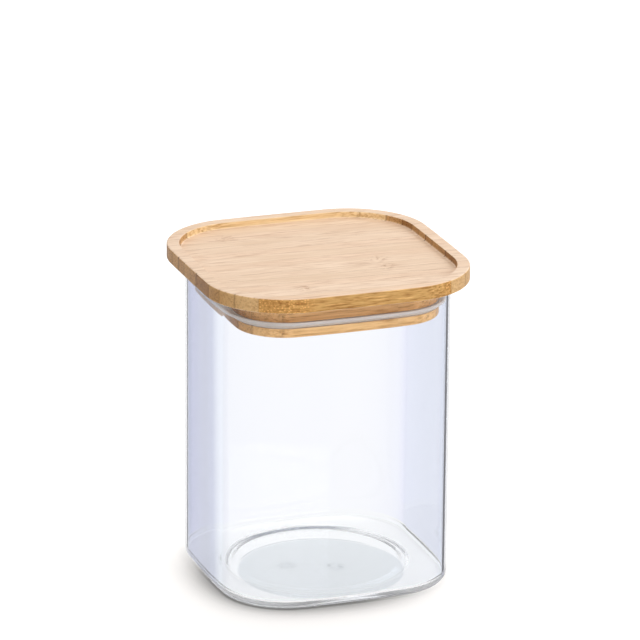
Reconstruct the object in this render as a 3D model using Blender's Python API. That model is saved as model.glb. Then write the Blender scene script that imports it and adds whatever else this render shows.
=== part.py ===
"""Square glass storage jar with a milled bamboo lid and a silicone sealing ring.

Metres, +Z up. The origin is the middle of the foot, on the surface that the jar stands on.
The front is -Y. The lid is milled from one board of bamboo staves glued side by side,
which run from left to right and go through the whole thickness of the lid.
"""

import math
from collections import namedtuple

import bmesh
import bpy

# Glass jar
GLASS_WIDTH = 0.1005
GLASS_HEIGHT = 0.1316
GLASS_WALL = 0.0016
GLASS_CORNER = 0.0291
GLASS_BOW = 0.379
FOOT_ROUND = 0.0028
FLOOR_THICKNESS = 0.0026
FLOOR_ROUND = 0.0020

# Underside of the jar: it stands on a flat ring, with a recess inside it and a shallow disc in that
RECESS_RADIUS = 0.0405
RECESS_SLOPE = 0.0020
RECESS_RISE = 0.0009
DISC_RADIUS = 0.0355
DISC_SLOPE = 0.0015
DISC_RISE = 0.0003

# Lid board: the cover that lies on the glass and the plug that drops into it
SEAT_GAP = 0.0003
COVER_OVERHANG = 0.00675
COVER_THICKNESS = 0.0063
COVER_CORNER = 0.0342
COVER_BOW = 2.1
COVER_EDGE_ROUND = 0.0007
TRAY_RIM_WIDTH = 0.0054
TRAY_DEPTH = 0.0027
TRAY_EDGE_ROUND = 0.0004
TRAY_FLOOR_ROUND = 0.0009
PLUG_CLEARANCE = 0.0041
PLUG_HEIGHT = 0.0144
PLUG_CORNER = 0.0207
PLUG_BOW = 0.456
PLUG_EDGE_ROUND = 0.0008
GROOVE_DEPTH = 0.0022
GROOVE_HEIGHT = 0.0029
GROOVE_DROP = 0.0076

# Staves that the board is glued from
STAVE_COUNT = 15
PLUG_FRONT_STAVE = 0.00105
GLUE_GAP = 0.0003
STAVE_TURN = math.radians(-1.8)

# Sealing ring in the plug's groove, with a lip that slants up to the glass
SEAL_FIT = 0.0003
SEAL_LIP_THICKNESS = 0.0014
SEAL_LIP_LIFT = 0.00155
SEAL_LIP_GAP = 0.0003
SEAL_TIP_ROUND = 0.0004
SEAL_ROOT_ROUND = 0.0005

# Facets
SIDE_STEPS = 5
CORNER_STEPS = 11
EDGE_STEPS = 3
FOOT_STEPS = 5
RIM_STEPS = 8
FLOOR_STEPS = 5
CUT_OVERRUN = 0.002
SMOOTH_ANGLE = math.radians(35)

# Colours, linear
GLASS_COLOUR = (0.93, 0.95, 0.97)
SILICONE_COLOUR = (0.72, 0.71, 0.69)
BAMBOO_PALE = (0.72, 0.51, 0.30)
BAMBOO_STRAW = (0.66, 0.45, 0.24)
BAMBOO_HONEY = (0.52, 0.31, 0.12)
STAVE_COLOURS = (BAMBOO_HONEY, BAMBOO_PALE, BAMBOO_STRAW)

# A square plan with bowed sides: half its width, its corner radius and its sides' radius
Plan = namedtuple("Plan", "half corner bow")

GLASS = Plan(GLASS_WIDTH / 2, GLASS_CORNER, GLASS_BOW)
COVER = Plan(GLASS.half + COVER_OVERHANG, COVER_CORNER, COVER_BOW)
PLUG = Plan(GLASS.half - GLASS_WALL - PLUG_CLEARANCE, PLUG_CORNER, PLUG_BOW)

# Heights above the surface that the jar stands on
COVER_BOTTOM = GLASS_HEIGHT + SEAT_GAP
COVER_TOP = COVER_BOTTOM + COVER_THICKNESS
TRAY_FLOOR = COVER_TOP - TRAY_DEPTH
PLUG_BOTTOM = COVER_BOTTOM - PLUG_HEIGHT
GROOVE_TOP = COVER_BOTTOM - GROOVE_DROP
GROOVE_BOTTOM = GROOVE_TOP - GROOVE_HEIGHT


def ring(plan, inset, height):
    """Points round a plan drawn in by an inset, at a height, anticlockwise from the right side."""
    half, corner, bow = (size - inset for size in plan)
    side_centre = half - bow
    reach = bow - corner
    corner_centre = (side_centre + math.sqrt(2 * reach**2 - side_centre**2)) / 2
    turn = math.atan2(corner_centre, corner_centre - side_centre)
    quarter = []
    for step in range(SIDE_STEPS + 1):
        angle = turn * (2 * step / SIDE_STEPS - 1)
        quarter.append((side_centre + bow * math.cos(angle), bow * math.sin(angle)))
    for step in range(1, CORNER_STEPS):
        angle = turn + (math.pi / 2 - 2 * turn) * step / CORNER_STEPS
        x = corner_centre + corner * math.cos(angle)
        y = corner_centre + corner * math.sin(angle)
        quarter.append((x, y))
    points = []
    for _ in range(4):
        points += [(x, y, height) for x, y in quarter]
        quarter = [(-y, x) for x, y in quarter]
    return points


def circle(plan, radius, height):
    """Points on a circle, each in the direction of the plan's own point."""
    points = []
    for x, y, _ in ring(plan, 0, 0):
        share = radius / math.hypot(x, y)
        points.append((x * share, y * share, height))
    return points


def arc(radius, start, end, steps):
    """Offsets along and up a round edge, from one angle in degrees to another."""
    for step in range(steps + 1):
        angle = math.radians(start + (end - start) * step / steps)
        yield radius * math.cos(angle), radius * math.sin(angle)


def loft(name, rings, closed):
    """A solid through rings of points. An open one is closed by a flat face at each end."""
    mesh = bpy.data.meshes.new(name)
    bm = bmesh.new()
    loops = [[bm.verts.new(point) for point in points] for points in rings]
    pairs = list(zip(loops, loops[1:]))
    if closed:
        pairs.append((loops[-1], loops[0]))
    for lower, upper in pairs:
        for i, corner in enumerate(lower):
            j = (i + 1) % len(lower)
            bm.faces.new((corner, lower[j], upper[j], upper[i]))
    if not closed:
        bm.faces.new(loops[0])
        bm.faces.new(loops[-1])
    bmesh.ops.recalc_face_normals(bm, faces=bm.faces)
    bm.to_mesh(mesh)
    bm.free()
    mesh.shade_smooth()
    mesh.set_sharp_from_angle(angle=SMOOTH_ANGLE)
    thing = bpy.data.objects.new(name, mesh)
    bpy.context.scene.collection.objects.link(thing)
    return thing


def principled(name, colour, roughness, **inputs):
    """A Principled material with a colour, a roughness and any other inputs by name."""
    material = bpy.data.materials.new(name)
    material.use_nodes = True
    shader = material.node_tree.nodes["Principled BSDF"]
    shader.inputs["Base Color"].default_value = (*colour, 1)
    shader.inputs["Roughness"].default_value = roughness
    for socket, value in inputs.items():
        shader.inputs[socket.replace("_", " ")].default_value = value
    return material


def glass_jar():
    """The jar, from the disc under it out over the rim and in to its floor."""
    rings = [
        circle(GLASS, DISC_RADIUS - DISC_SLOPE, RECESS_RISE + DISC_RISE),
        circle(GLASS, DISC_RADIUS, RECESS_RISE),
        circle(GLASS, RECESS_RADIUS - RECESS_SLOPE, RECESS_RISE),
        circle(GLASS, RECESS_RADIUS, 0),
    ]
    for along, up in arc(FOOT_ROUND, 270, 360, FOOT_STEPS):
        rings.append(ring(GLASS, FOOT_ROUND - along, FOOT_ROUND + up))
    rim_round = GLASS_WALL / 2
    for along, up in arc(rim_round, 0, 180, RIM_STEPS):
        rings.append(ring(GLASS, rim_round - along, GLASS_HEIGHT - rim_round + up))
    for along, up in arc(FLOOR_ROUND, 0, -90, FLOOR_STEPS):
        inset = GLASS_WALL + FLOOR_ROUND - along
        rings.append(ring(GLASS, inset, FLOOR_THICKNESS + FLOOR_ROUND + up))
    jar = loft("glass_jar", rings, closed=False)
    glass = principled("clear_glass", GLASS_COLOUR, 0.02, Transmission_Weight=1, IOR=1.47)
    jar.data.materials.append(glass)


def lid_blank(lid):
    """The whole milled board, from the tray's floor over the rim and down to the plug's end."""
    wall = TRAY_RIM_WIDTH
    rings = []
    for along, up in arc(TRAY_FLOOR_ROUND, 270, 360, EDGE_STEPS):
        inset = wall + TRAY_FLOOR_ROUND - along
        rings.append(ring(COVER, inset, TRAY_FLOOR + TRAY_FLOOR_ROUND + up))
    for along, up in arc(TRAY_EDGE_ROUND, 180, 90, EDGE_STEPS):
        inset = wall - TRAY_EDGE_ROUND - along
        rings.append(ring(COVER, inset, COVER_TOP - TRAY_EDGE_ROUND + up))
    edge = COVER_EDGE_ROUND
    for along, up in arc(edge, 90, 0, EDGE_STEPS):
        rings.append(ring(COVER, edge - along, COVER_TOP - edge + up))
    for along, up in arc(edge, 0, -90, EDGE_STEPS):
        rings.append(ring(COVER, edge - along, COVER_BOTTOM + edge + up))
    rings.append(ring(PLUG, 0, COVER_BOTTOM))
    rings.append(ring(PLUG, 0, GROOVE_TOP))
    rings.append(ring(PLUG, GROOVE_DEPTH, GROOVE_TOP))
    rings.append(ring(PLUG, GROOVE_DEPTH, GROOVE_BOTTOM))
    rings.append(ring(PLUG, 0, GROOVE_BOTTOM))
    edge = PLUG_EDGE_ROUND
    for along, up in arc(edge, 0, -90, EDGE_STEPS):
        rings.append(ring(PLUG, edge - along, PLUG_BOTTOM + edge + up))
    seat = lid.location.z
    rings = [[(x, y, z - seat) for x, y, z in points] for points in rings]
    blank = loft("lid_blank", rings, closed=False)
    blank.parent = lid
    blank.hide_render = True
    blank.display_type = "WIRE"
    return blank


def stave_lines():
    """The places of the glue lines across the middle of the lid, from front to back.

    The second line lies a little behind the plug's front. The staves behind it share the rest evenly.
    """
    second = PLUG_FRONT_STAVE - PLUG.half
    pitch = (COVER.half - second) / (STAVE_COUNT - 2)
    return [second + pitch * (index - 1) for index in range(STAVE_COUNT - 1)]


def reach_across(plan, inset):
    """How far a plan reaches to the front or back, across the staves."""
    return max(y * math.cos(STAVE_TURN) - x * math.sin(STAVE_TURN) for x, y, _ in ring(plan, inset, 0))


def slab(name, front, back, low, high):
    """A block across the lid between two lines and two heights."""
    reach = COVER.half + CUT_OVERRUN
    corners = [(-reach, front), (reach, front), (reach, back), (-reach, back)]
    heights = (low - COVER_BOTTOM, high - COVER_BOTTOM)
    return loft(name, [[(x, y, z) for x, y in corners] for z in heights], closed=False)


def stave(name, lid, blank, block, colour):
    """A block's share of the board, turned with the staves."""
    block.parent = lid
    block.rotation_euler.z = STAVE_TURN
    cut = block.modifiers.new("board", "BOOLEAN")
    cut.operation = "INTERSECT"
    cut.solver = "EXACT"
    cut.object = blank
    block.data.materials.append(principled(f"bamboo_{name}", colour, 0.5))


def staves(lid, blank):
    """Each stave is the stretch of the board between two glue lines.

    One that lies outside the groove's floor is parted by the groove, so its foot is a piece by itself.
    """
    reach = COVER.half + CUT_OVERRUN
    low = PLUG_BOTTOM - CUT_OVERRUN
    high = COVER_TOP + CUT_OVERRUN
    groove_middle = (GROOVE_TOP + GROOVE_BOTTOM) / 2
    plug_reach = reach_across(PLUG, 0)
    core_reach = reach_across(PLUG, GROOVE_DEPTH)
    lines = [-reach, *stave_lines(), reach]
    for index, (line, next_line) in enumerate(zip(lines, lines[1:])):
        name = f"stave_{index + 1:02d}"
        colour = STAVE_COLOURS[index % len(STAVE_COLOURS)]
        front = line + GLUE_GAP / 2
        back = next_line - GLUE_GAP / 2
        in_plug = front < plug_reach and back > -plug_reach
        in_core = front < core_reach and back > -core_reach
        if in_plug and not in_core:
            foot = f"{name}_foot"
            stave(foot, lid, blank, slab(foot, front, back, low, groove_middle), colour)
            stave(name, lid, blank, slab(name, front, back, groove_middle, high), colour)
        else:
            stave(name, lid, blank, slab(name, front, back, low, high), colour)


def seal_ring(lid):
    """The ring: a band that fills the plug's groove, with a lip that slants up to the glass."""
    bore = GLASS_WALL + SEAL_LIP_GAP
    top = GROOVE_TOP - SEAL_FIT
    bottom = GROOVE_BOTTOM + SEAL_FIT
    lip_middle = (top + bottom) / 2 + SEAL_LIP_LIFT
    lip_top = lip_middle + SEAL_LIP_THICKNESS / 2
    lip_bottom = lip_middle - SEAL_LIP_THICKNESS / 2
    back = GROOVE_DEPTH - SEAL_FIT
    rings = [ring(PLUG, back, bottom), ring(PLUG, back, top)]
    for along, up in arc(SEAL_ROOT_ROUND, 90, 0, EDGE_STEPS):
        rings.append(ring(PLUG, SEAL_ROOT_ROUND - along, top - SEAL_ROOT_ROUND + up))
    for along, up in arc(SEAL_TIP_ROUND, 90, 0, EDGE_STEPS):
        rings.append(ring(GLASS, bore + SEAL_TIP_ROUND - along, lip_top - SEAL_TIP_ROUND + up))
    for along, up in arc(SEAL_TIP_ROUND, 0, -90, EDGE_STEPS):
        rings.append(ring(GLASS, bore + SEAL_TIP_ROUND - along, lip_bottom + SEAL_TIP_ROUND + up))
    rings.append(ring(PLUG, 0, bottom))
    seat = lid.location.z
    rings = [[(x, y, z - seat) for x, y, z in points] for points in rings]
    seal = loft("seal_ring", rings, closed=True)
    seal.parent = lid
    seal.data.materials.append(principled("silicone", SILICONE_COLOUR, 0.35))


def main():
    for thing in list(bpy.data.objects):
        bpy.data.objects.remove(thing)
    glass_jar()
    lid = bpy.data.objects.new("lid", None)
    lid.location.z = COVER_BOTTOM
    bpy.context.scene.collection.objects.link(lid)
    staves(lid, lid_blank(lid))
    seal_ring(lid)


main()
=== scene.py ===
"""Looks for the square glass jar with a laminated bamboo lid and a silicone seal.

Metres, +Z up, the front is -Y, and the origin is the middle of the jar's foot, as in the CAD frame.
"""

import math
from collections import namedtuple

import bmesh
import bpy
from mathutils import Euler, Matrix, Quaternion, Vector

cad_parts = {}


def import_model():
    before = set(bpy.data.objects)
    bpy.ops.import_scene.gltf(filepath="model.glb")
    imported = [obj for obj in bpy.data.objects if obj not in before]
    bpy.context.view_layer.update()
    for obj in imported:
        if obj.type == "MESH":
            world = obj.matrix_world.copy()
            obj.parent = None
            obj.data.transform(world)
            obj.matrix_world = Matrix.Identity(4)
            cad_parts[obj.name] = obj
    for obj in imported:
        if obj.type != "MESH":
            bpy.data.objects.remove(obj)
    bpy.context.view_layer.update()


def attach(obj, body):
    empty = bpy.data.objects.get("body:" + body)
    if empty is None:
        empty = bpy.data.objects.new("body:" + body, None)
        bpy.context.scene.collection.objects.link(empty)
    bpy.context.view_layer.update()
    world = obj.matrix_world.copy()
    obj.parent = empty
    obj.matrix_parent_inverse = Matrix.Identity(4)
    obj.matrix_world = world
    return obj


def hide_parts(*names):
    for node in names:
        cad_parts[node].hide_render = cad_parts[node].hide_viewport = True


# A square plan with bowed sides: half its width, its corner radius and its sides' radius
Plan = namedtuple("Plan", "half corner bow")

# Glass jar, as in the CAD
GLASS = Plan(0.05025, 0.0291, 0.379)
GLASS_HEIGHT = 0.1316
GLASS_WALL = 0.0016
FOOT_ROUND = 0.0028
FLOOR_THICKNESS = 0.0026
FLOOR_ROUND = 0.0020
FLOOR_RADIUS = 0.0345
RECESS_RADIUS = 0.0405
# The underside's radii and heights, from the middle of its recess
# out to the ring that the jar stands on
UNDERSIDE = (
    (0.0, 0.0012),
    (0.0345, 0.0012),
    (0.0375, 0.0009),
    (RECESS_RADIUS, 0.0),
)

# Bamboo lid, as in the CAD
COVER = Plan(0.0570, 0.0342, 2.1)
COVER_BOTTOM = 0.1319
COVER_TOP = 0.1382
COVER_EDGE_ROUND = 0.0007
TRAY_RIM_WIDTH = 0.0054
TRAY_FLOOR = 0.1355
TRAY_EDGE_ROUND = 0.0004
TRAY_FLOOR_ROUND = 0.0009
PLUG = Plan(0.04455, 0.0207, 0.456)
PLUG_BOTTOM = 0.1175
PLUG_EDGE_ROUND = 0.0008
GROOVE_DEPTH = 0.0022
GROOVE_TOP = 0.1243
GROOVE_BOTTOM = 0.1214
STAVE_COUNT = 15
SECOND_LINE = -0.0435
STAVE_TURN = math.radians(-1.8)
GLUE_GAP = 0.00004

# Sealing ring, as in the CAD
SEAL_FIT = 0.0003
SEAL_LIP_THICKNESS = 0.0014
SEAL_LIP_LIFT = 0.00155
SEAL_LIP_GAP = 0.0003
SEAL_TIP_ROUND = 0.0004
SEAL_ROOT_ROUND = 0.0005

# Facets
SIDE_STEPS = 16
CORNER_STEPS = 28
EDGE_STEPS = 5
FOOT_STEPS = 12
RIM_STEPS = 12
UNDER_STEPS = 8
FLOOR_STEPS = 12
SMOOTH_ANGLE = math.radians(35)
CUT_MARGIN = 1e-7

# Layers of detail in a noise
SOFT_DETAIL = 2
FINE_DETAIL = 3

# Glass: a faint tint, and painted shade for dark surroundings seen through it, by the slant
# at which it is looked through, from 0 for straight to 1 for along it
GLASS_IOR = 1.47
GLASS_OUTSIDE = (
    (0.00, (0.97, 0.975, 0.99)),
    (0.45, (0.96, 0.975, 0.99)),
    (0.55, (0.84, 0.86, 0.91)),
    (0.62, (0.85, 0.91, 0.97)),
    (0.65, (0.80, 0.86, 0.95)),
    (0.67, (0.41, 0.45, 0.61)),
    (0.69, (0.36, 0.385, 0.51)),
    (0.745, (0.33, 0.355, 0.54)),
    (0.76, (0.45, 0.47, 0.60)),
    (0.79, (0.70, 0.71, 0.78)),
    (0.85, (0.85, 0.86, 0.90)),
    (1.00, (0.90, 0.90, 0.93)),
)
GLASS_INSIDE = (
    (0.00, (0.98, 0.985, 1.00)),
    (0.30, (0.90, 0.91, 0.98)),
    (0.45, (0.86, 0.88, 0.98)),
    (0.60, (0.77, 0.78, 0.96)),
    (0.62, (0.67, 0.71, 0.87)),
    (0.65, (0.61, 0.65, 0.79)),
    (0.69, (0.50, 0.54, 0.73)),
    (0.73, (0.53, 0.57, 0.74)),
    (0.80, (0.50, 0.53, 0.68)),
)
GLASS_HEEL = (
    (0.00, (0.97, 0.975, 0.99)),
    (0.60, (0.93, 0.945, 0.98)),
    (0.67, (0.66, 0.69, 0.78)),
    (0.745, (0.60, 0.62, 0.72)),
    (0.79, (0.86, 0.87, 0.91)),
    (1.00, (0.95, 0.95, 0.97)),
)
GLASS_BASE = ((0.0, (0.98, 0.99, 0.99)), (1.0, (0.96, 0.98, 0.98)))
GLASS_SHINE = 0.4
GLASS_SPECULAR = 0.5

# Painted dark edges of the inner wall, for dark surroundings seen in it: the slants at which
# it is seen along, and those at which light turns back in it
EDGE_SLANTS = (0.86, 0.90)
EDGE_TURNS = (0.262, 0.266, 0.279, 0.283)
EDGE_PAINTED_SHADE = (0.03, 0.035, 0.05)

# The looks of the jar's faces, in the order of its material slots
OUTSIDE, INSIDE, FLOOR, HEEL, UNDER, FOOT = range(6)

# Share of the lamps' light that gets through the glass,
# and where the heel, the foot and the level faces are
WALL_CLEARNESS = 0.97
HEEL_CLEARNESS = 0.6
HEEL_HEIGHT = 0.0090
FOOT_ROUGHNESS = 0.47
FOOT_HEIGHT = 0.0005
LEVEL_FACES = 0.7

# Painted shade in the jar's floor, for the base seen through the glass: a grey disc,
# a smear at each gate mark, and two dark lines
DISC_PAINTED_SHADE = (0.66, 0.70, 0.73)
DISC_MIDDLE = (-0.0026, -0.0138, 0)
DISC_SPAN = 0.0359
DISC_FADE = 0.0016
GATE_MARKS = ((-0.0146, -0.0052), (0.0046, -0.0130))
GATE_REACH = 0.0062
GATE_GRAIN = (260, 1900, 1)
GATE_CONTRAST = (0.50, 0.62)
GATE_PAINTED_SHADE = (0.42, 0.45, 0.49)
# Each line of painted shade: its radius and width, the depths between which it sets in,
# and its tint
Line = namedtuple("Line", "radius width front back tint")
DISC_LINE = Line(DISC_SPAN, 0.0007, 0.004, 0.014, (0.55, 0.58, 0.62))
RECESS_MIDDLE = (0.001, -0.0095, 0)
RECESS_LINE = Line(0.0445, 0.0022, 0.023, 0.033, (0.17, 0.19, 0.23))

# Bamboo: colours across the tray and rim, and down the sides, of each kind of stave
Tone = namedtuple("Tone", "top side speck_share")
AMBER = Tone((0.87, 0.63, 0.44), (0.59, 0.32, 0.100), 0.0)
PALE = Tone((0.89, 0.67, 0.49), (0.74, 0.46, 0.205), 0.35)
STRAW = Tone((0.86, 0.63, 0.45), (0.68, 0.42, 0.19), 0.7)
TAN = Tone((0.88, 0.66, 0.48), (0.62, 0.37, 0.165), 0.9)
BROWN = Tone((0.86, 0.64, 0.46), (0.46, 0.245, 0.09), 1.0)
BUTTER = Tone((0.88, 0.65, 0.46), (0.90, 0.64, 0.34), 0.12)
STAVE_TONES = (AMBER, PALE, PALE, STRAW, BROWN, BROWN, TAN, STRAW)
STAVE_TONES += (TAN, STRAW, TAN, BROWN, STRAW, BUTTER, BUTTER)

# Staves counted from the front: the first has a look of its own,
# and the seal's groove cuts the foot off the second
FRONT_STAVE = 1
PARTED_STAVE = 2

# How far the grain moves on from one stave to the next
STAVE_SHIFT = (0.131, 0.0173, 0.0291)

# Grain: how long and how wide its marks are
FIBRE = (0.012, 0.00045)
GRAIN = (0.018, 0.0009)
FRONT_GRAIN = (0.0075, 0.0007)
STREAK = (0.013, 0.0010)
CLOUD = (0.045, 0.0050)
BUNDLE = (0.030, 0.00085)
FRONT_BUNDLE = (0.014, 0.00125)
ROUND_BUNDLE = (0.0012, 0.0010)
BUNDLE_RANDOMNESS = 0.9
ROUND_RANDOMNESS = 0.8
NOISE_ROUGHNESS = 0.6
NOISE_RANGE = (0.3, 0.7)

# Tints by the strength of the grain
SIDE_TINTS = ((0.30, (0.62, 0.50, 0.36)), (0.50, (1.0, 1.0, 1.0)), (0.70, (1.16, 1.24, 1.36)))
FRONT_TINTS = ((0.32, (0.57, 0.45, 0.32)), (0.50, (1.02, 1.02, 1.02)), (0.67, (1.22, 1.34, 1.52)))
TOP_TINTS = ((0.28, (0.70, 0.58, 0.49)), (0.52, (1.0, 1.0, 1.0)), (0.72, (1.04, 1.05, 1.07)))
CLOUD_TINTS = ((0.30, (0.93, 0.90, 0.86)), (0.50, (1.0, 1.0, 1.0)), (0.70, (1.03, 1.04, 1.05)))
STREAK_CLOUDS = (0.38, 0.58)
STREAK_LEAST = 0.3
END_GRAIN_SHARE = 0.35

# Faces by their normal: between which values they come to count as each kind
FLAT_FACES = (0.5, 0.95)
ROUND_FACES = (0.2, 0.5, 0.85, 0.99)
END_FACES = (0.05, 0.5)
CUT_FACES = (0.3, 0.9)
# Left ends take full painted shade, right ends a share of it
LEFT_FACES = (-1, -0.72)
RIGHT_FACES = (0.55, 0.95)
RIGHT_END_SHARE = 0.45

# Painted shade on the ends, painted light on the plug in the jar, and a painted highlight
# on the rounded edges
END_PAINTED_SHADE = (0.80, 0.70, 0.55)
PLUG_PAINTED_LIGHT = (1.24, 1.19, 1.10)
PLUG_FADE = 0.0003
EDGE_PAINTED_HIGHLIGHT = (1.10, 1.13, 1.18)

# Cut fibre bundles: dark specks, and pale dots at the ends of the front stave
SPECK = (0.40, 0.28, 0.17)
SPECK_SPREAD = (0.18, 0.46)
SPECK_LEAST = 0.12
SPECK_ON_ENDS = 0.88
SPECK_ON_TOP = 0.08
DOT = (1.50, 1.62, 1.85)
DOT_GROUND = (0.98, 0.91, 0.80)
DOT_MIDDLE = 0.0075
DOT_SPAN = (0.0245, 0.0325)
LONG_DOTS = (0.18, 0.42, 0.55)
ROUND_DOTS = (0.22, 0.44, 0.9)

# Surface of the bamboo
BAMBOO_SHINE = 0.25
BAMBOO_ROUGHNESS = (0.40, 0.52)
FIBRE_RELIEF = 0.6
BUNDLE_RELIEF = 0.3
RELIEF_STRENGTH = 0.35
RELIEF_DEPTH = 0.00006

# Glue lines from the front to the back: how dark each is on the ends of the staves
GLUE_LINE_WIDTH = 0.00050
GLUE_SHARES = (0.12, 0.35, 0.25, 0.35, 0.30, 0.95, 0.30, 0.40, 0.95, 0.30, 0.40, 0.30, 0.40, 0.30)
GLUE_ON_TOP = 0.10
GLUE_TINT = (0.20, 0.12, 0.06)

# Knuckles of the bamboo in the tray's floor, and the reach of their marks
KNUCKLES = ((0.024, -0.008), (0.024, -0.019), (-0.018, -0.036), (-0.027, 0.038))
KNUCKLE_REACH = 0.0065
KNUCKLE_MARK = (0.0028, 0.0016)
KNUCKLE_CONTRAST = (0.48, 0.62)
KNUCKLE_TINT = (0.60, 0.45, 0.34)

# Silicone of the sealing ring, with its clouds and its fine grain
SILICONE = (0.86, 0.81, 0.77)
SILICONE_IOR = 1.41
SILICONE_CLEARNESS = 0.2
SILICONE_ROUGHNESS = (0.30, 0.42)
SILICONE_DEPTH = 0.002
SILICONE_DEPTHS = (1, 0.95, 0.9)
SILICONE_SCATTER = 0.6
SEAL_CLOUD_SCALE = 90
SEAL_CLOUDS = (0.35, 0.7, 0, 0.5)
SEAL_CLOUD_TINT = (0.90, 0.90, 0.90)
SEAL_GRAIN_SCALE = 2500
SEAL_GRAIN_STRENGTH = 0.15
SEAL_GRAIN_DEPTH = 0.00005

# Stage: the floor lights the jar with one colour and looks white, and the sky does the same
FLOOR_SIZE = 12.0
FLOOR_CELLS = 8
FLOOR_GAP = 0.0001
FLOOR_COLOUR = (0.80, 0.80, 0.80)
FLOOR_ROUGHNESS = 0.9
FLOOR_SEEN = (1.0, 1.0, 1.0)
FLOOR_LIFT = 0.22
FLOOR_GLOW = 0.92
SKY = 0.58

# The jar's shadow on the floor: its reach, its lean to the front left, its depth,
# and where it fades out
SHADOW_REACH = 0.022
SHADOW_LEAN = (0.66, 0.73, 0.18)
SHADOW_OPEN = (0.25, 0.95)
SHADOW_DEPTH = 0.22
SHADOW_SAMPLES = 16
SHADOW_MIDDLE = (-0.033, -0.038, 0)
SHADOW_FADE = (0.032, 0.081)

# Lamps: name, place, side of the square and power
LAMPS = (
    ("top_box", (0.15, 0.35, 1.6), 0.9, 6),
    ("front_box", (0.7, -1.6, 0.8), 0.9, 11),
    ("back_box", (0.9, 0.9, 1.0), 0.7, 4),
)

# Camera: where it stands round the jar, and the point that it looks at
CAMERA_AZIMUTH = -19.97
CAMERA_ELEVATION = 18.437
CAMERA_DISTANCE = 2.1695
CAMERA_ROLL = 0.492
CAMERA_TARGET = Vector((0.00119, -0.00043, 0.10858))
SENSOR_WIDTH = 36
LENS = 291.9


# ---- outlines and solids


def ring(plan, inset, height):
    """Points round a plan drawn in by an inset, at a height, anticlockwise from the right side."""
    half, corner, bow = (size - inset for size in plan)
    side_centre = half - bow
    reach = bow - corner
    corner_centre = (side_centre + math.sqrt(2 * reach**2 - side_centre**2)) / 2
    turn = math.atan2(corner_centre, corner_centre - side_centre)
    quarter = []
    for step in range(SIDE_STEPS + 1):
        angle = turn * (2 * step / SIDE_STEPS - 1)
        quarter.append((side_centre + bow * math.cos(angle), bow * math.sin(angle)))
    for step in range(1, CORNER_STEPS):
        angle = turn + (math.pi / 2 - 2 * turn) * step / CORNER_STEPS
        along, across = corner * math.cos(angle), corner * math.sin(angle)
        quarter.append((corner_centre + along, corner_centre + across))
    points = []
    for _ in range(4):
        points += [(x, y, height) for x, y in quarter]
        quarter = [(-y, x) for x, y in quarter]
    return points


def circle(plan, radius, height):
    """Points on a circle, each in the direction of the plan's own point."""
    points = []
    for x, y, _ in ring(plan, 0, 0):
        share = radius / math.hypot(x, y)
        points.append((x * share, y * share, height))
    return points


def arc(radius, start, end, steps):
    """Offsets along and up a round edge, from one angle in degrees to another."""
    for step in range(steps + 1):
        angle = math.radians(start + (end - start) * step / steps)
        yield radius * math.cos(angle), radius * math.sin(angle)


def loft(rings, closed=False):
    """A bmesh through rings of points. An open one is closed by a flat face at each end."""
    bm = bmesh.new()
    loops = [[bm.verts.new(point) for point in points] for points in rings]
    pairs = list(zip(loops, loops[1:]))
    if closed:
        pairs.append((loops[-1], loops[0]))
    for lower, upper in pairs:
        for i, corner in enumerate(lower):
            j = (i + 1) % len(lower)
            bm.faces.new((corner, lower[j], upper[j], upper[i]))
    if not closed:
        bm.faces.new(loops[0])
        bm.faces.new(loops[-1])
    bmesh.ops.recalc_face_normals(bm, faces=bm.faces)
    return bm


def piece(name, bm, body, nodes, materials):
    """A smooth object from a bmesh that stands for CAD nodes and rides on a body."""
    mesh = bpy.data.meshes.new(name)
    bm.to_mesh(mesh)
    bm.free()
    mesh.shade_smooth()
    mesh.set_sharp_from_angle(angle=SMOOTH_ANGLE)
    for material in materials:
        mesh.materials.append(material)
    thing = bpy.data.objects.new(name, mesh)
    bpy.context.scene.collection.objects.link(thing)
    shading = thing.modifiers.new("flat faces stay flat", "WEIGHTED_NORMAL")
    shading.keep_sharp = True
    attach(thing, body)
    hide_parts(*nodes)
    return thing


# ---- material nodes


def node(tree, kind, inputs, **settings):
    """A node with its settings, and with each input given a value or linked to a socket."""
    made = tree.nodes.new(kind)
    for name, value in settings.items():
        setattr(made, name, value)
    for key, value in inputs.items():
        if isinstance(value, bpy.types.NodeSocket):
            tree.links.new(value, made.inputs[key])
        else:
            made.inputs[key].default_value = value
    return made


def maths(tree, operation, *values):
    return node(tree, "ShaderNodeMath", dict(enumerate(values)), operation=operation).outputs[0]


def multiply(tree, *values):
    product = values[0]
    for value in values[1:]:
        product = maths(tree, "MULTIPLY", product, value)
    return product


def off(tree, value, middle):
    """How far a value is from another."""
    return maths(tree, "ABSOLUTE", maths(tree, "SUBTRACT", value, middle))


def vector_maths(tree, operation, first, second, output="Vector"):
    made = node(tree, "ShaderNodeVectorMath", {0: first, 1: second}, operation=operation)
    return made.outputs[output]


def split(tree, vector):
    """A vector's X, Y and Z."""
    return node(tree, "ShaderNodeSeparateXYZ", {0: vector}).outputs


def span(tree, value, start, end, low=0.0, high=1.0):
    """A value's smooth rise from low to high between start and end."""
    inputs = {"Value": value, "From Min": start, "From Max": end, "To Min": low, "To Max": high}
    made = node(tree, "ShaderNodeMapRange", inputs, interpolation_type="SMOOTHSTEP")
    return made.outputs["Result"]


def fall(tree, value, start=0.0, end=1.0, high=1.0):
    """A value's smooth fall from high to nothing between start and end."""
    return span(tree, value, start, end, high, 0.0)


def ramp(tree, value, stops):
    """A colour by value, from (place, colour) stops."""
    made = node(tree, "ShaderNodeValToRGB", {"Fac": value})
    elements = made.color_ramp.elements
    while len(elements) < len(stops):
        elements.new(0.5)
    for element, (place, colour) in zip(elements, stops):
        element.position = place
        element.color = (*colour, 1)
    return made.outputs["Color"]


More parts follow.
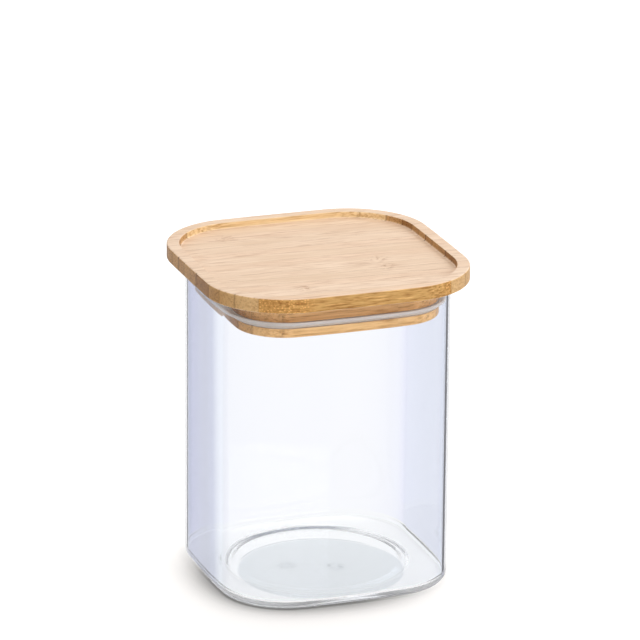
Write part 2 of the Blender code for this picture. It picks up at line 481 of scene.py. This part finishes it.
def mix(tree, share, first, second, blend="MIX"):
    """Two colours mixed by a share."""
    first, second = ((*c, 1) if isinstance(c, tuple) else c for c in (first, second))
    inputs = {0: share, 6: first, 7: second}
    return node(tree, "ShaderNodeMix", inputs, data_type="RGBA", blend_type=blend).outputs[2]


def tinted(tree, share, colour, tint):
    """A colour multiplied by a tint, by a share."""
    return mix(tree, share, colour, tint, "MULTIPLY")


def blank_material(name):
    """A material with its tree, its Principled shader and its output."""
    material = bpy.data.materials.new(name)
    material.use_nodes = True
    tree = material.node_tree
    return material, tree, tree.nodes["Principled BSDF"], tree.nodes["Material Output"]


# ---- glass


def glass_material(name, stops, clearness, roughness=0.0, has_edge=False, painted_shade=None):
    """Clear glass, tinted and painted darker where looked through at a slant. Lamps shine through
    it.

    Glass with an edge has painted dark lines where it is looked along, and where light first
    turns back inside the wall.
    """
    material, tree, shader, output = blank_material(name)
    facing = node(tree, "ShaderNodeLayerWeight", {"Blend": 0.5}).outputs["Facing"]
    # Faint tint, with painted shade that deepens at a slant
    tint = ramp(tree, facing, stops)
    if painted_shade:
        tint = painted_shade(tree, tint)
    shader.inputs["Roughness"].default_value = roughness
    shader.inputs["IOR"].default_value = GLASS_IOR
    shader.inputs["Transmission Weight"].default_value = 1
    shader.inputs["Specular Tint"].default_value = (GLASS_SHINE, GLASS_SHINE, GLASS_SHINE, 1)
    if has_edge:
        start, dark, light, end = EDGE_TURNS
        turned = multiply(tree, span(tree, facing, start, dark), fall(tree, facing, light, end))
        in_wall = node(tree, "ShaderNodeNewGeometry", {}).outputs["Backfacing"]
        along = span(tree, facing, *EDGE_SLANTS)
        edge = maths(tree, "MAXIMUM", along, multiply(tree, turned, in_wall))
        # Painted shade: dark lines where the wall is seen along and where light turns back in it
        tint = mix(tree, edge, tint, EDGE_PAINTED_SHADE)
        clear_share = fall(tree, edge)
        tree.links.new(clear_share, shader.inputs["Transmission Weight"])
        specular = multiply(tree, clear_share, GLASS_SPECULAR)
        tree.links.new(specular, shader.inputs["Specular IOR Level"])
    tree.links.new(tint, shader.inputs["Base Color"])
    light = node(tree, "ShaderNodeLightPath", {}).outputs
    clear = maths(tree, "MAXIMUM", light["Is Shadow Ray"], light["Is Diffuse Ray"])
    shade = (clearness, clearness, clearness, 1)
    through = node(tree, "ShaderNodeBsdfTransparent", {"Color": shade}).outputs[0]
    both = node(tree, "ShaderNodeMixShader", {0: clear, 1: shader.outputs[0], 2: through})
    tree.links.new(both.outputs[0], output.inputs["Surface"])
    return material


def floor_painted_shade(tree, tint):
    """The jar's floor with painted shade: a grey disc, two dark lines and smears at the gate marks.
    """
    place = node(tree, "ShaderNodeTexCoord", {}).outputs["Object"]
    flat = vector_maths(tree, "MULTIPLY", place, (1, 1, 0))
    depth = split(tree, place)["Y"]

    def distance(spot):
        return vector_maths(tree, "DISTANCE", flat, spot, "Value")

    # Painted shade: a grey disc
    in_disc = fall(tree, distance(DISC_MIDDLE), DISC_SPAN - DISC_FADE, DISC_SPAN)
    tint = tinted(tree, in_disc, tint, DISC_PAINTED_SHADE)
    # Two dark lines of painted shade, set in towards the back
    for middle, line in ((DISC_MIDDLE, DISC_LINE), (RECESS_MIDDLE, RECESS_LINE)):
        on_line = fall(tree, off(tree, distance(middle), line.radius), line.width / 2, line.width)
        at_back = span(tree, depth, line.front, line.back)
        tint = tinted(tree, multiply(tree, on_line, at_back), tint, line.tint)
    drawn = vector_maths(tree, "MULTIPLY", flat, GATE_GRAIN)
    grain = {"Vector": drawn, "Scale": 1, "Detail": SOFT_DETAIL}
    smear = node(tree, "ShaderNodeTexNoise", grain).outputs["Fac"]
    # Painted shade: a grey smear at each gate mark
    for spot in GATE_MARKS:
        near = fall(tree, distance((*spot, 0)), GATE_REACH / 3, GATE_REACH)
        smeared = multiply(tree, near, span(tree, smear, *GATE_CONTRAST))
        tint = tinted(tree, smeared, tint, GATE_PAINTED_SHADE)
    return tint


def glass_rings():
    """The jar's rings outside, from the recess's middle to the rim, and inside, back down."""
    outside, inside = [], []
    for (near, high), (far, low) in zip(UNDERSIDE, UNDERSIDE[1:]):
        for step in range(1, UNDER_STEPS + 1):
            share = step / UNDER_STEPS
            drop = 0.5 - 0.5 * math.cos(math.pi * share)
            radius = near + (far - near) * share
            outside.append(circle(GLASS, radius, high + (low - high) * drop))
    for along, up in arc(FOOT_ROUND, 270, 360, FOOT_STEPS):
        outside.append(ring(GLASS, FOOT_ROUND - along, FOOT_ROUND + up))
    rim_round = GLASS_WALL / 2
    for along, up in arc(rim_round, 0, 180, RIM_STEPS):
        outside.append(ring(GLASS, rim_round - along, GLASS_HEIGHT - rim_round + up))
    for along, up in arc(FLOOR_ROUND, 0, -90, FOOT_STEPS):
        inset = GLASS_WALL + FLOOR_ROUND - along
        inside.append(ring(GLASS, inset, FLOOR_THICKNESS + FLOOR_ROUND + up))
    for step in range(FLOOR_STEPS, 0, -1):
        inside.append(circle(GLASS, FLOOR_RADIUS * step / FLOOR_STEPS, FLOOR_THICKNESS))
    return outside, inside


def glass_look(face, is_inside):
    """The look of a face of the jar."""
    middle = face.calc_center_median()
    is_level = abs(face.normal.z) > LEVEL_FACES and middle.z < GLASS_HEIGHT / 2
    if is_inside:
        if is_level:
            return FLOOR
        return UNDER if middle.z < FLOOR_THICKNESS + FLOOR_ROUND else INSIDE
    if middle.z < FOOT_HEIGHT:
        return FOOT
    if is_level or math.hypot(middle.x, middle.y) < RECESS_RADIUS:
        return UNDER
    return HEEL if middle.z < HEEL_HEIGHT else OUTSIDE


def glass_jar():
    """The jar, with each face in the slot of its look."""
    outside, inside = glass_rings()
    bm = loft(outside + inside)
    bm.verts.index_update()
    first_inside = (len(outside) - 1) * len(outside[0])
    for face in bm.faces:
        is_inside = min(vertex.index for vertex in face.verts) >= first_inside
        face.material_index = glass_look(face, is_inside)
    materials = [
        glass_material("glass_outside", GLASS_OUTSIDE, WALL_CLEARNESS),
        glass_material("glass_inside", GLASS_INSIDE, WALL_CLEARNESS, has_edge=True),
        glass_material("glass_floor", GLASS_BASE, WALL_CLEARNESS, painted_shade=floor_painted_shade),
        glass_material("glass_heel", GLASS_HEEL, HEEL_CLEARNESS),
        glass_material("glass_under", GLASS_BASE, WALL_CLEARNESS),
        glass_material("glass_foot", GLASS_BASE, WALL_CLEARNESS, FOOT_ROUGHNESS),
    ]
    return piece("jar_glass", bm, "jar", ["glass_jar"], materials)


# ---- bamboo lid


def stave_lines():
    """The places of the glue lines across the middle of the lid, from front to back."""
    pitch = (COVER.half - SECOND_LINE) / (STAVE_COUNT - 2)
    return [SECOND_LINE + pitch * (index - 1) for index in range(STAVE_COUNT - 1)]


def stretched(tree, place, size):
    """A place measured in marks of a length along the fibres and a width across them."""
    length, width = size
    return vector_maths(tree, "MULTIPLY", place, (1 / length, 1 / width, 1 / width))


def noise(tree, place, size, detail):
    inputs = {
        "Vector": stretched(tree, place, size),
        "Scale": 1,
        "Detail": detail,
        "Roughness": NOISE_ROUGHNESS,
    }
    return node(tree, "ShaderNodeTexNoise", inputs).outputs["Fac"]


def cells(tree, place, size, randomness):
    """The distance from the middle of the nearest bundle of fibres."""
    inputs = {"Vector": stretched(tree, place, size), "Scale": 1, "Randomness": randomness}
    return node(tree, "ShaderNodeTexVoronoi", inputs).outputs["Distance"]


# How far a face counts as flat, upright, rounded, an end, cut across the fibres,
# or an end in painted shade
Faces = namedtuple("Faces", "flat upright rounded end cut shaded")


def bamboo_faces(tree):
    """What a face of the lid counts as, by its normal."""
    normal = split(tree, node(tree, "ShaderNodeNewGeometry", {}).outputs["Normal"])
    slope = maths(tree, "ABSOLUTE", normal["Z"])
    turn = maths(tree, "ABSOLUTE", normal["X"])
    flat = span(tree, slope, *FLAT_FACES)
    upright = fall(tree, flat)
    low, full, falling, gone = ROUND_FACES
    rounded = multiply(tree, span(tree, slope, low, full), fall(tree, slope, falling, gone))
    left = fall(tree, normal["X"], *LEFT_FACES)
    right = span(tree, normal["X"], *RIGHT_FACES, 0, RIGHT_END_SHARE)
    # Ends that take painted shade: the left ones fully, the right ones by a share
    shaded = multiply(tree, maths(tree, "MAXIMUM", left, right), upright)
    end = span(tree, turn, *END_FACES)
    cut = span(tree, turn, *CUT_FACES)
    return Faces(flat, upright, rounded, end, cut, shaded)


def grain_colour(tree, own, tone, faces, is_front):
    """A stave's own colour with its clouds, and the grain of its sides and of its top."""
    size, tints = (FRONT_GRAIN, FRONT_TINTS) if is_front else (GRAIN, SIDE_TINTS)
    cloud = noise(tree, own, CLOUD, SOFT_DETAIL)
    colour = mix(tree, faces.flat, tone.side, tone.top)
    colour = tinted(tree, 1, colour, ramp(tree, cloud, CLOUD_TINTS))
    grain = noise(tree, own, size, FINE_DETAIL)
    grained = multiply(tree, faces.upright, span(tree, faces.cut, 0, 1, 1, END_GRAIN_SHARE))
    colour = tinted(tree, grained, colour, ramp(tree, grain, tints))
    streaked = multiply(tree, faces.flat, span(tree, cloud, *STREAK_CLOUDS, STREAK_LEAST, 1))
    streak = noise(tree, own, STREAK, FINE_DETAIL)
    return tinted(tree, streaked, colour, ramp(tree, streak, TOP_TINTS))


def front_dots(tree, own, along, faces, spread, colour):
    """The front stave's long pale dots, and round ones on a darker ground at its ends."""
    at_ends = span(tree, off(tree, along, DOT_MIDDLE), *DOT_SPAN)
    colour = tinted(tree, multiply(tree, at_ends, faces.upright), colour, DOT_GROUND)
    round_spread = cells(tree, own, ROUND_BUNDLE, ROUND_RANDOMNESS)
    long_dots = multiply(tree, fall(tree, spread, *LONG_DOTS), fall(tree, at_ends))
    round_dots = multiply(tree, fall(tree, round_spread, *ROUND_DOTS), at_ends)
    dots = multiply(tree, maths(tree, "MAXIMUM", long_dots, round_dots), faces.upright)
    return tinted(tree, dots, colour, DOT)


def end_specks(tree, tone, faces, spread, colour):
    """Dark specks of the cut fibre bundles, mostly on the ends."""
    share = maths(tree, "MULTIPLY_ADD", faces.cut, SPECK_ON_ENDS * tone.speck_share, SPECK_LEAST)
    off_top = span(tree, faces.flat, 0, 1, 1, SPECK_ON_TOP)
    specks = multiply(tree, fall(tree, spread, *SPECK_SPREAD), share, off_top)
    return tinted(tree, specks, colour, SPECK)


def glue_marks(tree, across, faces, lines, colour):
    """Glue lines beside a stave, given as (place, share): strong on its ends and faint on top."""
    for line, share in lines:
        away = off(tree, across, line)
        dark = fall(tree, away, GLUE_LINE_WIDTH / 3, GLUE_LINE_WIDTH, share)
        on_ends = multiply(tree, dark, faces.end)
        on_top = multiply(tree, fall(tree, away, 0, GLUE_LINE_WIDTH), GLUE_ON_TOP)
        colour = tinted(tree, maths(tree, "MAXIMUM", on_ends, on_top), colour, GLUE_TINT)
    return colour


def near_knuckles(lines):
    """The knuckles whose marks reach between a stave's glue lines."""
    low = min((line for line, _ in lines), default=0) - KNUCKLE_REACH
    high = max((line for line, _ in lines), default=0) + KNUCKLE_REACH
    return [(x, y) for x, y in KNUCKLES if low < y < high]


def knuckle_marks(tree, place, own, faces, lines, colour):
    """Smudges on the tray's floor round each knuckle that reaches a stave."""
    for knuckle in near_knuckles(lines):
        distance = vector_maths(tree, "DISTANCE", place, (*knuckle, TRAY_FLOOR), "Value")
        smudge = span(tree, noise(tree, own, KNUCKLE_MARK, SOFT_DETAIL), *KNUCKLE_CONTRAST)
        share = multiply(tree, smudge, fall(tree, distance, 0, KNUCKLE_REACH), faces.flat)
        colour = tinted(tree, share, colour, KNUCKLE_TINT)
    return colour


def bamboo(name, tone, lines, is_front, shift):
    """Bamboo whose fibres run along the staves, with the glue lines beside it as (place, share)."""
    material, tree, shader, _ = blank_material(name)
    place = node(tree, "ShaderNodeTexCoord", {}).outputs["Object"]
    turn = {"Vector": place, "Angle": -STAVE_TURN}
    turned = node(tree, "ShaderNodeVectorRotate", turn, rotation_type="Z_AXIS").outputs[0]
    own = vector_maths(tree, "ADD", turned, shift)
    faces = bamboo_faces(tree)
    spread = cells(tree, own, FRONT_BUNDLE if is_front else BUNDLE, BUNDLE_RANDOMNESS)

    colour = grain_colour(tree, own, tone, faces, is_front)
    # Painted shade on the ends
    colour = tinted(tree, faces.shaded, colour, END_PAINTED_SHADE)
    # Painted light: the plug below the cover is lighter
    in_jar = fall(tree, split(tree, place)["Z"], COVER_BOTTOM - PLUG_FADE, COVER_BOTTOM)
    colour = tinted(tree, in_jar, colour, PLUG_PAINTED_LIGHT)
    if is_front:
        colour = front_dots(tree, own, split(tree, turned)["X"], faces, spread, colour)
    else:
        colour = end_specks(tree, tone, faces, spread, colour)
    # Painted highlight on the rounded edges
    colour = tinted(tree, faces.rounded, colour, EDGE_PAINTED_HIGHLIGHT)
    colour = glue_marks(tree, split(tree, turned)["Y"], faces, lines, colour)
    colour = knuckle_marks(tree, place, own, faces, lines, colour)
    tree.links.new(colour, shader.inputs["Base Color"])

    fibre = noise(tree, own, FIBRE, FINE_DETAIL)
    roughness = span(tree, fibre, *NOISE_RANGE, *BAMBOO_ROUGHNESS)
    tree.links.new(roughness, shader.inputs["Roughness"])
    shader.inputs["Specular IOR Level"].default_value = BAMBOO_SHINE
    fibre_relief = multiply(tree, fibre, FIBRE_RELIEF)
    bundle_relief = multiply(tree, spread, BUNDLE_RELIEF)
    relief = maths(tree, "ADD", fibre_relief, bundle_relief)
    bump = {"Height": relief, "Strength": RELIEF_STRENGTH, "Distance": RELIEF_DEPTH}
    tree.links.new(node(tree, "ShaderNodeBump", bump).outputs[0], shader.inputs["Normal"])
    return material


def lid_blank():
    """The whole milled board, from the tray's floor over the rim and down to the plug's end."""
    wall = TRAY_RIM_WIDTH
    rings = []
    edge = TRAY_FLOOR_ROUND
    for along, up in arc(edge, 270, 360, EDGE_STEPS):
        rings.append(ring(COVER, wall + edge - along, TRAY_FLOOR + edge + up))
    edge = TRAY_EDGE_ROUND
    for along, up in arc(edge, 180, 90, EDGE_STEPS):
        rings.append(ring(COVER, wall - edge - along, COVER_TOP - edge + up))
    edge = COVER_EDGE_ROUND
    for along, up in arc(edge, 90, 0, EDGE_STEPS):
        rings.append(ring(COVER, edge - along, COVER_TOP - edge + up))
    for along, up in arc(edge, 0, -90, EDGE_STEPS):
        rings.append(ring(COVER, edge - along, COVER_BOTTOM + edge + up))
    rings.append(ring(PLUG, 0, COVER_BOTTOM))
    rings.append(ring(PLUG, 0, GROOVE_TOP))
    rings.append(ring(PLUG, GROOVE_DEPTH, GROOVE_TOP))
    rings.append(ring(PLUG, GROOVE_DEPTH, GROOVE_BOTTOM))
    rings.append(ring(PLUG, 0, GROOVE_BOTTOM))
    edge = PLUG_EDGE_ROUND
    for along, up in arc(edge, 0, -90, EDGE_STEPS):
        rings.append(ring(PLUG, edge - along, PLUG_BOTTOM + edge + up))
    return loft(rings)


def cut_away(bm, place, direction):
    """Takes off what lies beyond a plane, and closes the cut."""
    geometry = bm.verts[:] + bm.edges[:] + bm.faces[:]
    bmesh.ops.bisect_plane(
        bm, geom=geometry, dist=CUT_MARGIN, plane_co=place, plane_no=direction, clear_outer=True
    )
    open_edges = [edge for edge in bm.edges if edge.is_boundary]
    bmesh.ops.holes_fill(bm, edges=open_edges, sides=0)


def between(blank, front, back, low, high):
    """The board's stretch between two lines across it and two heights, or None if there is none."""
    bm = blank.copy()
    turn = Euler((0, 0, STAVE_TURN)).to_matrix()
    forward = turn @ Vector((0, -1, 0))
    if front is not None:
        cut_away(bm, turn @ Vector((0, front, 0)), forward)
    if back is not None:
        cut_away(bm, turn @ Vector((0, back, 0)), -forward)
    if low is not None:
        cut_away(bm, Vector((0, 0, low)), Vector((0, 0, -1)))
    if high is not None:
        cut_away(bm, Vector((0, 0, high)), Vector((0, 0, 1)))
    return bm


def staves():
    """Each stave is the stretch of the board between two glue lines."""
    blank = lid_blank()
    lines = stave_lines()
    groove_middle = (GROOVE_TOP + GROOVE_BOTTOM) / 2
    fronts = [None] + [line + GLUE_GAP / 2 for line in lines]
    backs = [line - GLUE_GAP / 2 for line in lines] + [None]
    for index, (front, back) in enumerate(zip(fronts, backs)):
        number = index + 1
        name = f"stave_{number:02d}"
        shift = tuple(step * index for step in STAVE_SHIFT)
        beside = list(zip(lines, GLUE_SHARES))[max(index - 1, 0) : number]
        is_front = number == FRONT_STAVE
        material = bamboo(f"bamboo_{number:02d}", STAVE_TONES[index], beside, is_front, shift)
        low = None
        if number == PARTED_STAVE:
            low = groove_middle
            foot = between(blank, front, back, None, groove_middle)
            piece("lid_stave_02_foot", foot, "lid", ["stave_02_foot"], [material])
        stave = between(blank, front, back, low, None)
        piece(f"lid_{name}", stave, "lid", [name], [material])
    blank.free()


# ---- seal


def silicone():
    """Milky silicone, slightly see-through at its edges."""
    material, tree, shader, _ = blank_material("silicone")
    place = node(tree, "ShaderNodeTexCoord", {}).outputs["Object"]
    clouds = {"Vector": place, "Scale": SEAL_CLOUD_SCALE, "Detail": FINE_DETAIL}
    cloud = node(tree, "ShaderNodeTexNoise", clouds).outputs["Fac"]
    clouded = span(tree, cloud, *SEAL_CLOUDS)
    tree.links.new(tinted(tree, clouded, SILICONE, SEAL_CLOUD_TINT), shader.inputs["Base Color"])
    roughness = span(tree, cloud, *NOISE_RANGE, *SILICONE_ROUGHNESS)
    tree.links.new(roughness, shader.inputs["Roughness"])
    shader.inputs["Transmission Weight"].default_value = SILICONE_CLEARNESS
    shader.inputs["IOR"].default_value = SILICONE_IOR
    shader.inputs["Subsurface Weight"].default_value = SILICONE_SCATTER
    shader.inputs["Subsurface Radius"].default_value = SILICONE_DEPTHS
    shader.inputs["Subsurface Scale"].default_value = SILICONE_DEPTH
    grain = {"Vector": place, "Scale": SEAL_GRAIN_SCALE, "Detail": SOFT_DETAIL}
    height = node(tree, "ShaderNodeTexNoise", grain).outputs["Fac"]
    bump = {"Height": height, "Strength": SEAL_GRAIN_STRENGTH, "Distance": SEAL_GRAIN_DEPTH}
    tree.links.new(node(tree, "ShaderNodeBump", bump).outputs[0], shader.inputs["Normal"])
    return material


def seal_ring():
    """A band that fills the plug's groove, with a lip that rises to the glass."""
    bore = GLASS_WALL + SEAL_LIP_GAP
    top = GROOVE_TOP - SEAL_FIT
    bottom = GROOVE_BOTTOM + SEAL_FIT
    lip_middle = (top + bottom) / 2 + SEAL_LIP_LIFT
    lip_top = lip_middle + SEAL_LIP_THICKNESS / 2
    lip_bottom = lip_middle - SEAL_LIP_THICKNESS / 2
    back = GROOVE_DEPTH - SEAL_FIT
    rings = [ring(PLUG, back, bottom), ring(PLUG, back, top)]
    for along, up in arc(SEAL_ROOT_ROUND, 90, 0, EDGE_STEPS):
        rings.append(ring(PLUG, SEAL_ROOT_ROUND - along, top - SEAL_ROOT_ROUND + up))
    for along, up in arc(SEAL_TIP_ROUND, 90, 0, EDGE_STEPS):
        rings.append(ring(GLASS, bore + SEAL_TIP_ROUND - along, lip_top - SEAL_TIP_ROUND + up))
    for along, up in arc(SEAL_TIP_ROUND, 0, -90, EDGE_STEPS):
        rings.append(ring(GLASS, bore + SEAL_TIP_ROUND - along, lip_bottom + SEAL_TIP_ROUND + up))
    rings.append(ring(PLUG, 0, bottom))
    piece("lid_seal", loft(rings, closed=True), "lid", ["seal_ring"], [silicone()])


# ---- stage, light and camera


def seen_white(tree, plain, white):
    """A shader that is plain for light's own paths, and white where it is looked at."""
    light = node(tree, "ShaderNodeLightPath", {}).outputs
    seen = maths(tree, "MAXIMUM", light["Is Camera Ray"], light["Is Glossy Ray"])
    seen = maths(tree, "MAXIMUM", seen, light["Is Transmission Ray"])
    return node(tree, "ShaderNodeMixShader", {0: seen, 1: plain, 2: white}).outputs[0]


def floor():
    """A plain pale floor that looks white, and keeps the jar's shadow."""
    material, tree, shader, output = blank_material("floor")
    shader.inputs["Base Color"].default_value = (*FLOOR_COLOUR, 1)
    shader.inputs["Roughness"].default_value = FLOOR_ROUGHNESS
    shader.inputs["Specular IOR Level"].default_value = 0
    lean = {"Distance": SHADOW_REACH, "Normal": SHADOW_LEAN}
    near = node(tree, "ShaderNodeAmbientOcclusion", lean, samples=SHADOW_SAMPLES).outputs["AO"]
    open_share = span(tree, near, *SHADOW_OPEN, SHADOW_DEPTH, 1)
    place = node(tree, "ShaderNodeNewGeometry", {}).outputs["Position"]
    away = vector_maths(tree, "DISTANCE", place, SHADOW_MIDDLE, "Value")
    seen = mix(tree, span(tree, away, *SHADOW_FADE), open_share, FLOOR_SEEN)
    pale = node(tree, "ShaderNodeBsdfDiffuse", {"Color": seen}).outputs[0]
    lift = node(tree, "ShaderNodeEmission", {"Color": seen, "Strength": FLOOR_LIFT}).outputs[0]
    lifted = node(tree, "ShaderNodeAddShader", {0: pale, 1: lift}).outputs[0]
    light = node(tree, "ShaderNodeLightPath", {}).outputs
    through = maths(tree, "MAXIMUM", light["Is Transmission Ray"], light["Is Glossy Ray"])
    through = multiply(tree, through, FLOOR_GLOW)
    white = node(tree, "ShaderNodeEmission", {"Strength": 1}).outputs[0]
    lifted = node(tree, "ShaderNodeMixShader", {0: through, 1: lifted, 2: white}).outputs[0]
    tree.links.new(seen_white(tree, shader.outputs[0], lifted), output.inputs["Surface"])
    bm = bmesh.new()
    bmesh.ops.create_grid(bm, x_segments=FLOOR_CELLS, y_segments=FLOOR_CELLS, size=FLOOR_SIZE / 2)
    mesh = bpy.data.meshes.new("floor")
    bm.to_mesh(mesh)
    bm.free()
    mesh.materials.append(material)
    plane = bpy.data.objects.new("floor", mesh)
    plane.location.z = -FLOOR_GAP
    bpy.context.scene.collection.objects.link(plane)


def world():
    """A sky that looks white and lights the jar more softly."""
    sky = bpy.data.worlds.new("studio")
    bpy.context.scene.world = sky
    sky.use_nodes = True
    tree = sky.node_tree
    soft = tree.nodes["Background"]
    soft.inputs["Color"].default_value = (1, 1, 1, 1)
    soft.inputs["Strength"].default_value = SKY
    white = node(tree, "ShaderNodeBackground", {"Color": (1, 1, 1, 1), "Strength": 1}).outputs[0]
    seen = seen_white(tree, soft.outputs[0], white)
    tree.links.new(seen, tree.nodes["World Output"].inputs["Surface"])


def lamp(name, place, side, power):
    """A square soft box aimed at the middle of the jar."""
    data = bpy.data.lights.new(name, "AREA")
    data.size = side
    data.energy = power
    thing = bpy.data.objects.new(name, data)
    thing.location = place
    aim = Vector((0, 0, GLASS_HEIGHT / 2)) - Vector(place)
    thing.rotation_euler = aim.to_track_quat("-Z", "Y").to_euler()
    thing.visible_camera = False
    bpy.context.scene.collection.objects.link(thing)


def camera():
    """The photo's camera, as fitted to the corners and lines of the jar."""
    azimuth, elevation = math.radians(CAMERA_AZIMUTH), math.radians(CAMERA_ELEVATION)
    level = math.cos(elevation)
    out = Vector((math.sin(azimuth) * level, -math.cos(azimuth) * level, math.sin(elevation)))
    data = bpy.data.cameras.new("camera")
    data.sensor_width = SENSOR_WIDTH
    data.lens = LENS
    thing = bpy.data.objects.new("camera", data)
    thing.location = CAMERA_TARGET + out * CAMERA_DISTANCE
    roll = Quaternion((0, 0, 1), math.radians(CAMERA_ROLL))
    thing.rotation_mode = "QUATERNION"
    thing.rotation_quaternion = (-out).to_track_quat("-Z", "Y") @ roll
    bpy.context.scene.collection.objects.link(thing)
    bpy.context.scene.camera = thing


def build():
    """The jar on its stage, lit and seen as in the photo."""
    bpy.context.scene.view_settings.view_transform = "Standard"
    glass_jar()
    staves()
    seal_ring()
    floor()
    world()
    for name, place, side, power in LAMPS:
        lamp(name, place, side, power)
    camera()


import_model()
build()
